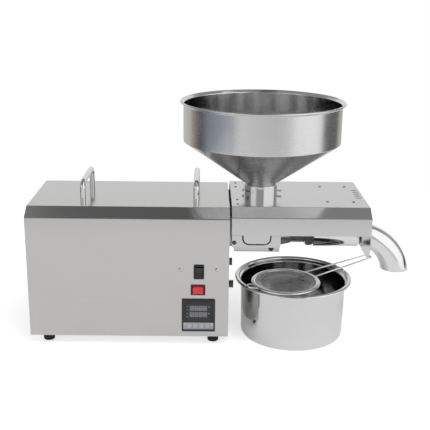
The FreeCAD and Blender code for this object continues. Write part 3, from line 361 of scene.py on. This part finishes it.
def round_wire(name, route, radius, material, body, up=(0.0, 0.0, 1.0), sides=16):
    """Tube p + radius (cos t u + sin t w) along a route, with domed ends closed by one vertex each."""
    run = np.gradient(route, axis=0)
    run /= np.linalg.norm(run, axis=1)[:, None]
    u = np.cross(run, np.array(up))
    u /= np.linalg.norm(u, axis=1)[:, None]
    w = np.cross(run, u)
    t = np.linspace(0, 2 * math.pi, sides, endpoint=False)
    dome = np.radians([75.0, 50.0, 25.0])
    sink, shrink = radius * np.sin(dome), radius * np.cos(dome)
    before, after = route[0] - sink[:, None] * run[0], route[-1] + sink[::-1, None] * run[-1]
    middles = np.concatenate([before, route, after])
    sizes = np.concatenate([shrink, np.full(len(route), radius), shrink[::-1]])[:, None, None]
    pad = ((len(dome), len(dome)), (0, 0))
    u, w = np.pad(u, pad, mode="edge"), np.pad(w, pad, mode="edge")
    spokes = np.cos(t)[:, None] * u[:, None] + np.sin(t)[:, None] * w[:, None]
    rings = (middles[:, None] + sizes * spokes).reshape(-1, 3)
    points = np.concatenate([rings, [route[0] - run[0] * radius], [route[-1] + run[-1] * radius]])
    faces = [list(reversed(f)) for f in grid_faces(len(middles), sides)]
    k, n = np.arange(sides), len(rings)
    faces += np.stack([np.full(sides, n), k, (k + 1) % sides], axis=-1).tolist()
    faces += np.stack([np.full(sides, n + 1), n - sides + (k + 1) % sides, n - sides + k], axis=-1).tolist()
    return new_piece(name, points * MM, faces, material, body)


# ---------------------------------------------------------------- hopper, pot and strainer
SPUN = FINISH_OF_SLOT["spun_steel"]
POLISHED = FINISH_OF_SLOT["polished_steel"]
WIRE = FINISH_OF_SLOT["mesh_steel"]
HOPPER_INSIDE = polished_steel("spun stainless, inside", 0.70, 0.24, 900.0)
# The cone's outside is rougher satin, and its darker, warmer tone than the spun steel is painted shade.
SHADED_HOPPER_CONE = polished_steel("satin stainless cone, painted shade", 0.62, 0.24, 900.0, 0.02)


def refinish(piece, chosen, material):
    """Gives the faces picked by chosen(radial share of the normal, height in mm) another finish."""
    mesh = piece.data
    count = len(mesh.polygons)
    centres, normals = np.empty(3 * count), np.empty(3 * count)
    mesh.polygons.foreach_get("center", centres)
    mesh.polygons.foreach_get("normal", normals)
    centres, normals = centres.reshape(-1, 3), normals.reshape(-1, 3)
    out = centres[:, :2] - (centres[:, :2].min(axis=0) + centres[:, :2].max(axis=0)) / 2
    outward = (out * normals[:, :2]).sum(axis=1) / np.linalg.norm(out, axis=1)
    indices = np.empty(count, np.int32)
    mesh.polygons.foreach_get("material_index", indices)
    mesh.materials.append(material)
    indices[chosen(outward, centres[:, 2] / MM)] = len(mesh.materials) - 1
    mesh.polygons.foreach_set("material_index", indices)
    mesh.update()


def centre_of(node):
    """Middle of a node's box in plan, in millimetres."""
    low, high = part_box(node)
    return ((low.x + high.x) / 2 / MM, (low.y + high.y) / 2 / MM)


SPOUT_R = 21.6
SPOUT_TOP_Z = 221.4
CONE_TOP_Z = 286.2
HOPPER_LIP = 4.9  # from the upright wall out to the rim
HOPPER_BEAD_R = 1.5
HOPPER_WALL = 1.0


def spun_hopper():
    """Hopper from one closed section: spout, cone, upright wall and rolled lip, then back inside."""
    low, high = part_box("hopper")
    rim_r, top, bottom = (high.x - low.x) / 2 / MM, high.z / MM, low.z / MM
    wall_r = rim_r - HOPPER_LIP
    inner_r, inner_spout_r = wall_r - HOPPER_WALL, SPOUT_R - HOPPER_WALL
    bead = (rim_r - HOPPER_BEAD_R, top - HOPPER_BEAD_R)
    outside = rounded_path([(SPOUT_R, bottom, 0), (SPOUT_R, SPOUT_TOP_Z, 3), (wall_r, CONE_TOP_Z, 1.6),
                            (wall_r, top - 4.6, 1.5), (bead[0] - 1.2, top - 2.5, 0)])
    roll = arc_path(bead, HOPPER_BEAD_R, -120, 110, 14)
    inside = rounded_path([(bead[0] - 1.4, top - 1.0, 0), (inner_r, top - 4.2, 1.5),
                           (inner_r, CONE_TOP_Z + 0.4, 2.2), (inner_spout_r, SPOUT_TOP_Z + 0.4, 3),
                           (inner_spout_r, bottom, 0)])
    section = np.concatenate([outside, roll, inside])[::-1]
    piece = turned_loop("hopper_shell", section, centre_of("hopper"), SPUN, "hopper", 224)
    refinish(piece, lambda outward, z: outward < -0.2, HOPPER_INSIDE)
    # the cone's outside takes the satin finish whose darker, warmer tone is painted shade
    refinish(piece, lambda outward, z: (outward > 0.2) & (z < CONE_TOP_Z - 0.2), SHADED_HOPPER_CONE)
    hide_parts("hopper")


POT_FOOT_R = 76.0
POT_WALL_R = 77.5
POT_FLARE_Z = 82.0
POT_WALL = 0.9
POT_BEAD_R = 2.0


def spun_pot():
    """Pot: base, wall with a slight draft, flare, rolled rim, and the same back down inside."""
    low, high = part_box("oil_pot")
    rim_r, top = (high.x - low.x) / 2 / MM, high.z / MM
    bead = (rim_r - POT_BEAD_R, top - POT_BEAD_R)
    outside = rounded_path([(0, 0, 0), (POT_FOOT_R, 0, 4.5), (POT_WALL_R, POT_FLARE_Z, 3), (81.6, 84.6, 1.2),
                            (bead[0] - 2.0, top - 3.6, 0)])
    roll = arc_path(bead, POT_BEAD_R, -150, 95, 14)
    inside = rounded_path([(82.9, top - 0.1, 0), (80.6, top - 1.0, 1.6), (80.0, 85.2, 1.6),
                           (POT_WALL_R - POT_WALL, POT_FLARE_Z + 0.6, 3),
                           (POT_FOOT_R - POT_WALL, POT_WALL, 3.6), (0, POT_WALL, 0)])
    section = np.concatenate([outside, roll, inside])[::-1]
    piece = turned_cup("pot_shell", section, centre_of("oil_pot"), SPUN, "pot", 192)
    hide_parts("oil_pot")


HOOP_R = 50.2
HOOP_HALF_WIDTH = 3.1
HOOP_HALF_HEIGHT = 1.7
HOOP_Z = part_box("strainer_mesh")[1].z / MM - 1.5
HANDLE_TURN = math.radians(37.2)
HANDLE_REACH = 178.5
HANDLE_HALF_GAP = (10.9, 6.3)  # at the hoop and at the far end
REST_LOOP = [(-46.0, -11.9), (-54.0, -11.7), (-56.2, -14.2), (-56.5, -19.5), (-54.5, -23.2), (-44.6, -25.2),
             (-36.6, -28.3)]  # from the strainer's middle
DISH_R = 37.5
DISH_DEPTH = 24.0
WEAVE_R = 43.6
WEAVE_PITCH = 1.6
WEAVE_LIFT = 0.26
WEAVE_WIRE_R = 0.27


def strainer_rim():
    """Flattened ring (R - a + a cos^0.8 t, z + b + b sin^0.8 t) turned about the strainer's middle."""
    t = np.linspace(0, 2 * math.pi, 28, endpoint=False)
    across, up = (np.sign(v) * np.abs(v) ** 0.8 for v in (np.cos(t), np.sin(t)))
    r = HOOP_R - HOOP_HALF_WIDTH + HOOP_HALF_WIDTH * across
    loop = np.stack([r, HOOP_Z + HOOP_HALF_HEIGHT + HOOP_HALF_HEIGHT * up], axis=-1)
    piece = turned_loop("strainer_hoop", loop[::-1], centre_of("strainer_mesh"), WIRE, "strainer", 144)
    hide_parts("strainer_frame")


def strainer_wires():
    """The handle, one wire out and back in a long narrow loop, and the small loop on the pot's rim."""
    cx, cy = centre_of("strainer_mesh")
    along = np.array([math.cos(HANDLE_TURN), math.sin(HANDLE_TURN)])
    across = np.array([-math.sin(HANDLE_TURN), math.cos(HANDLE_TURN)])
    level, start = HOOP_Z + HOOP_HALF_HEIGHT, 47.2
    near, far = HANDLE_HALF_GAP
    corners = [(start, near, level), (HANDLE_REACH, far, level + 2.1), (HANDLE_REACH, -far, level + 2.1),
               (start, -near, level)]
    route = [np.append(np.array([cx, cy]) + a * along + b * across, z) for a, b, z in corners]
    round_wire("strainer_handle", smooth_route(route, 3.4), 1.4, WIRE, "strainer")
    route = [(cx + dx, cy + dy, HOOP_Z + 1.5) for dx, dy in REST_LOOP]
    round_wire("strainer_rest_loop", smooth_route(route, 3.0), 1.3, WIRE, "strainer")


def strainer_weave():
    """Plain weave over the dish: wire k runs at k s across, at height h(r) + a (-1)^k cos(pi x / s)."""
    cx, cy = centre_of("strainer_mesh")
    ball = (DISH_R ** 2 + DISH_DEPTH ** 2) / (2 * DISH_DEPTH)
    count = int(WEAVE_R / WEAVE_PITCH)
    k = np.arange(-count, count + 1)
    across = k * WEAVE_PITCH
    reach = np.sqrt(np.maximum(WEAVE_R ** 2 - across ** 2, 1.0))
    share = np.linspace(-1, 1, 137)
    x = reach[:, None] * share
    y = across[:, None] + 0 * x
    r = np.hypot(x, y)
    cap = HOOP_Z - DISH_DEPTH + ball - np.sqrt(np.maximum(ball ** 2 - np.minimum(r, DISH_R) ** 2, 0))
    height = np.where(r < DISH_R, cap, HOOP_Z + (r - DISH_R) * 0.22)
    wave = WEAVE_LIFT * np.where(k % 2, 1, -1)[:, None] * np.cos(math.pi * x / WEAVE_PITCH)
    sides = 4
    t = math.pi / 4 + np.linspace(0, 2 * math.pi, sides, endpoint=False)
    px = np.broadcast_to(x[..., None], x.shape + (sides,))
    py = y[..., None] + WEAVE_WIRE_R * np.cos(t)
    over, under = ((height + side * wave)[..., None] + WEAVE_WIRE_R * np.sin(t) for side in (1, -1))
    lengthwise = np.stack([px + cx, py + cy, over], axis=-1)
    crosswise = np.stack([py + cx, px + cy, under], axis=-1)
    points = np.concatenate([lengthwise.reshape(-1, 3), crosswise.reshape(-1, 3)])
    per_wire = len(share) * sides
    caps = np.array([list(range(sides)), list(range(per_wire - sides, per_wire))[::-1]])
    one = np.concatenate([np.array(grid_faces(len(share), sides)), caps])
    faces = one[None] + np.arange(2 * len(k))[:, None, None] * per_wire
    faces[: len(k)] = faces[: len(k), :, ::-1]
    piece = new_piece("strainer_weave", points * MM, faces.reshape(-1, 4).tolist(), WIRE, "strainer")
    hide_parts("strainer_mesh")


# ---------------------------------------------------------------- discharge elbow
ELBOW_BEND_R = 68.4
ELBOW_START_R = 16.0
ELBOW_FLARE = 5.3  # gained in a quarter turn
ELBOW_WALL = 1.5
ELBOW_ENTRY_R = 16.8  # section where the pipe meets the hood
ELBOW_CENTRE = (SEAM_X / MM + 188.0, 146.0 - ELBOW_BEND_R)


def elbow_radius(a, wall):
    """Radius of the elbow's section at turn a, less the wall."""
    return ELBOW_START_R + ELBOW_FLARE * a / (math.pi / 2) - wall


def bent_elbow():
    """Flared bend: (x, z) = c + (R + r(a) cos p)(sin a, cos a), y = r(a) sin p, cut level at the outlet."""
    low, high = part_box("discharge_elbow")
    start_x, outlet_z = low.x / MM, low.z / MM
    centre_x, centre_z = ELBOW_CENTRE
    p = np.linspace(0, 2 * math.pi, 64, endpoint=False)
    rows = []
    for wall, order in ((0.0, 1), (ELBOW_WALL, -1)):
        first = np.arcsin((start_x - centre_x) / (ELBOW_BEND_R + ELBOW_ENTRY_R * np.cos(p)))
        last = np.full_like(p, 1.4)
        for _ in range(6):
            last = np.arccos((outlet_z - centre_z) / (ELBOW_BEND_R + elbow_radius(last, wall) * np.cos(p)))
        a = first + np.linspace(0, 1, 49)[:, None] * (last - first)
        far = ELBOW_BEND_R + elbow_radius(a, wall) * np.cos(p)
        y = elbow_radius(a, wall) * np.sin(p)
        row = np.stack([centre_x + far * np.sin(a), y, centre_z + far * np.cos(a)], axis=-1)
        rows.append(row[::order])
    points = np.concatenate(rows)
    faces = [list(reversed(f)) for f in grid_faces(len(points), len(p), wrap_rows=True)]
    piece = new_piece("elbow_pipe", points.reshape(-1, 3) * MM, faces, POLISHED, "cover")
    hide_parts("discharge_elbow")


# ---------------------------------------------------------------- readouts
def plates(name, boxes, material, body):
    """Small bevel-free blocks (x0, x1, y0, y1, z0, z1) in one mesh, in metres."""
    limits = np.array(boxes)
    pick = np.array([[i, j, k] for i in (0, 1) for j in (2, 3) for k in (4, 5)])
    points = limits[:, pick].reshape(-1, 3)
    one = np.array([[0, 1, 3, 2], [4, 6, 7, 5], [0, 4, 5, 1], [2, 3, 7, 6], [0, 2, 6, 4], [1, 5, 7, 3]])
    faces = (one[None] + 8 * np.arange(len(limits))[:, None, None]).reshape(-1, 4).tolist()
    return new_piece(name, points, faces, material, body, smooth=False)


READOUT_SIZE = (25.4 * MM, 8.0 * MM)
DIGIT_SIZE = (4.6 * MM, 6.2 * MM)
DIGIT_PITCH = 6.15 * MM
DIGITS = 4


def eights(x, z, y):
    """The seven strokes of each unlit digit in a row whose lower left corner is (x, z)."""
    width, height = DIGIT_SIZE
    stroke, half = width * 0.17, height / 2
    sides = [(0, stroke), (width - stroke, width)]
    spans = [(0, width, z0, z0 + stroke) for z0 in (0, half - stroke / 2, height - stroke)]
    spans += [(x0, x1, z0, z0 + half) for x0, x1 in sides for z0 in (0, half)]
    starts = [x + k * DIGIT_PITCH for k in range(DIGITS)]
    return [(start + x0, start + x1, y[0], y[1], z + z0, z + z1)
            for start in starts for x0, x1, z0, z1 in spans]


def readouts():
    """Two four-digit number windows behind the pane's face, with small lamps beside them."""
    low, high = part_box("controller_window")
    face = low.y
    glass = moulded_plastic("grey readout glass", (0.17, 0.17, 0.18), 0.25)
    stroke = moulded_plastic("pale readout strokes", (0.42, 0.42, 0.44), 0.35)
    lamp = moulded_plastic("pale lamp plastic", (0.40, 0.46, 0.42), 0.3)
    left = low.x + 5.6 * MM
    rows = [high.z - 11.4 * MM, high.z - 21.2 * MM]
    width, height = READOUT_SIZE
    depth = (face - 0.15 * MM, face + 0.1 * MM)
    panes = [(left, left + width, *depth, z, z + height) for z in rows]
    plates("readout_windows", panes, glass, "housing")
    in_front = (face - 0.3 * MM, face - 0.15 * MM)
    strokes = [box for z in rows for box in eights(left + 1.2 * MM, z + 0.9 * MM, in_front)]
    plates("readout_digits", strokes, stroke, "housing")
    depth = (face - 0.2 * MM, face + 0.1 * MM)
    left_lamps = (low.x + 1.6 * MM, low.x + 2.9 * MM, *depth)
    right_lamps = (high.x - 4.0 * MM, high.x - 2.4 * MM, *depth)
    dots = [(*left_lamps, z, z + 1.1 * MM)
            for z in (rows[0] + 6 * MM, rows[0] + 1 * MM, rows[1] + 5 * MM, rows[1])]
    dots += [(*right_lamps, z, z + 1.4 * MM) for z in (rows[0] + 5.4 * MM, rows[1] + 5.2 * MM)]
    plates("readout_lamps", dots, lamp, "housing")


dress_cad_nodes()
spun_hopper()
spun_pot()
strainer_rim()
strainer_wires()
strainer_weave()
bent_elbow()
readouts()


# ---------------------------------------------------------------- studio
CAMERA_PLACE = (-0.02391, -1.143, 0.51482)
CAMERA_ANGLES = (0.48, -16.75, 0.71)  # yaw, pitch and roll in degrees
CAMERA_LENS = 66.36223  # millimetres
SENSOR_WIDTH = 36.0
TABLE_SPAN = (0.85, -0.72, 0.75)  # half width, front edge and back edge


def add_camera():
    """Camera in front of the press, a little above the hopper, looking down by 17 degrees."""
    data = bpy.data.cameras.new("camera")
    data.sensor_width = SENSOR_WIDTH
    data.lens = CAMERA_LENS
    data.clip_end = 50.0
    camera = bpy.data.objects.new("camera", data)
    yaw, pitch, roll = (math.radians(a) for a in CAMERA_ANGLES)
    forward = np.array([math.sin(yaw) * math.cos(pitch), math.cos(yaw) * math.cos(pitch), math.sin(pitch)])
    right = np.array([math.cos(yaw), -math.sin(yaw), 0.0])
    up = np.cross(right, forward)
    right_rolled = math.cos(roll) * right + math.sin(roll) * up
    up_rolled = -math.sin(roll) * right + math.cos(roll) * up
    basis = mathutils.Matrix((right_rolled, up_rolled, -forward)).transposed()
    camera.matrix_world = mathutils.Matrix.Translation(CAMERA_PLACE) @ basis.to_4x4()
    bpy.context.scene.collection.objects.link(camera)
    bpy.context.scene.camera = camera


def add_world():
    """White to the camera; to the steel, a studio of pale walls, dark gaps and a dark ceiling.

    The walls are ramps over the turn about Z, where 0 and 1 are behind the press, 0.25 its left, 0.5 the
    front and 0.75 its right. One ramp is below the horizon, one above it, and one is the walls' height.
    """
    world = bpy.data.worlds.new("studio")
    bpy.context.scene.world = world
    world.use_nodes = True
    tree = world.node_tree
    background = tree.nodes["Background"]
    direction = add(tree, "ShaderNodeTexCoord").outputs["Generated"]
    way = add(tree, "ShaderNodeSeparateXYZ", {"Vector": direction}).outputs
    azimuth = calc(tree, "ARCTAN2", way["X"], calc(tree, "MULTIPLY", way["Y"], -1.0))
    turn = remap(tree, azimuth, 0.0, 1.0, -math.pi, math.pi)
    brown, rust = (0.34, 0.22, 0.17), (0.42, 0.28, 0.20)
    night, slate, dusk = (0.06, 0.07, 0.10), (0.21, 0.24, 0.28), (0.28, 0.31, 0.36)
    low = ramp(tree, turn, [(0.0, 0.62), (0.145, 0.60), (0.150, rust), (0.188, brown), (0.193, night),
                            (0.236, night), (0.242, slate), (0.380, dusk), (0.387, 0.78), (0.50, 0.66),
                            (0.56, 0.60), (0.615, 0.72), (0.618, 1.05), (0.752, 1.05), (0.760, 0.10),
                            (0.872, 0.12), (0.880, (0.50, 0.53, 0.48)), (1.0, 0.62)], smooth=False)
    high = ramp(tree, turn, [(0.0, 0.80), (0.11, 0.78), (0.153, 0.30), (0.29, 0.30), (0.328, 1.0),
                             (0.40, 0.95), (0.43, 0.45), (0.54, 0.42), (0.57, 1.2), (0.764, 1.15),
                             (0.79, 0.40), (0.875, 0.40), (0.90, 0.80), (1.0, 0.80)])
    wall_top = ramp(tree, turn, [(0.0, 0.36), (0.08, 0.36), (0.12, 0.5), (0.57, 0.5), (0.585, 0.8),
                                 (0.764, 0.8), (0.78, 0.5), (0.90, 0.5), (0.94, 0.36), (1.0, 0.36)],
                    smooth=False)
    across = remap(tree, way["X"], 0.0, 1.0, -0.5, 0.5)
    ceiling = ramp(tree, across, [(0.0, 0.30), (0.28, 0.30), (0.30, 0.16), (0.5, 0.13), (0.55, 0.25),
                                  (0.7, 0.30), (1.0, 0.30)], smooth=False)
    above = remap(tree, calc(tree, "SUBTRACT", way["Z"], wall_top), 0.0, 1.0, 0.0, 0.12)
    upper = remap(tree, way["Z"], 0.0, 1.0, -0.06, 0.06)
    walls = blend_colours(tree, upper, low, high)
    room = blend_colours(tree, above, walls, ceiling)
    path = add(tree, "ShaderNodeLightPath").outputs
    seen = calc(tree, "MAXIMUM", path["Is Camera Ray"], path["Is Transmission Ray"])
    tree.links.new(blend_colours(tree, seen, room, (1, 1, 1, 1)), background.inputs["Color"])


def add_floor():
    """White table under the press, seen evenly white apart from the shadow."""
    across, front, back = TABLE_SPAN
    corners = [(-across, front, 0), (across, front, 0), (across, back, 0), (-across, back, 0)]
    data = bpy.data.meshes.new("floor")
    data.from_pydata(corners, [], [(0, 1, 2, 3)])
    floor = bpy.data.objects.new("floor", data)
    bpy.context.scene.collection.objects.link(floor)
    material, tree, shader = start_material("white table")
    place = object_coordinates(tree)
    speckle = noise(tree, place, 30.0, 3.0, 0.5)
    tree.links.new(blend_colours(tree, speckle, grey(0.80), grey(0.83)), shader.inputs["Base Color"])
    shader.inputs["Roughness"].default_value = 0.8
    path = add(tree, "ShaderNodeLightPath").outputs
    seen = calc(tree, "MAXIMUM", path["Is Camera Ray"], path["Is Transmission Ray"])
    mirrored = calc(tree, "MULTIPLY", path["Is Glossy Ray"], 0.22)
    glow = calc(tree, "MAXIMUM", calc(tree, "MULTIPLY", seen, 0.62), mirrored)
    tree.links.new(glow, shader.inputs["Emission Strength"])
    shader.inputs["Emission Color"].default_value = (1, 1, 1, 1)
    data.materials.append(material)


def add_light(name, place, aim, size, power):
    """Soft rectangular lamp at a place, aimed at a point, that steel does not mirror."""
    data = bpy.data.lights.new(name, "AREA")
    data.shape = "RECTANGLE"
    data.size, data.size_y = size
    data.energy = power
    light = bpy.data.objects.new(name, data)
    direction = mathutils.Vector(aim) - mathutils.Vector(place)
    light.rotation_euler = direction.to_track_quat("-Z", "Y").to_euler()
    light.location = place
    light.visible_glossy = False
    bpy.context.scene.collection.objects.link(light)


add_camera()
add_world()
add_floor()
add_light("key", (0.5, -0.7, 2.2), (0, 0, 0.1), (1.2, 1.2), 14)
add_light("fill", (-1.6, -1.0, 1.6), (0, 0, 0.2), (0.8, 0.8), 5)
bpy.context.scene.view_settings.view_transform = "Standard"
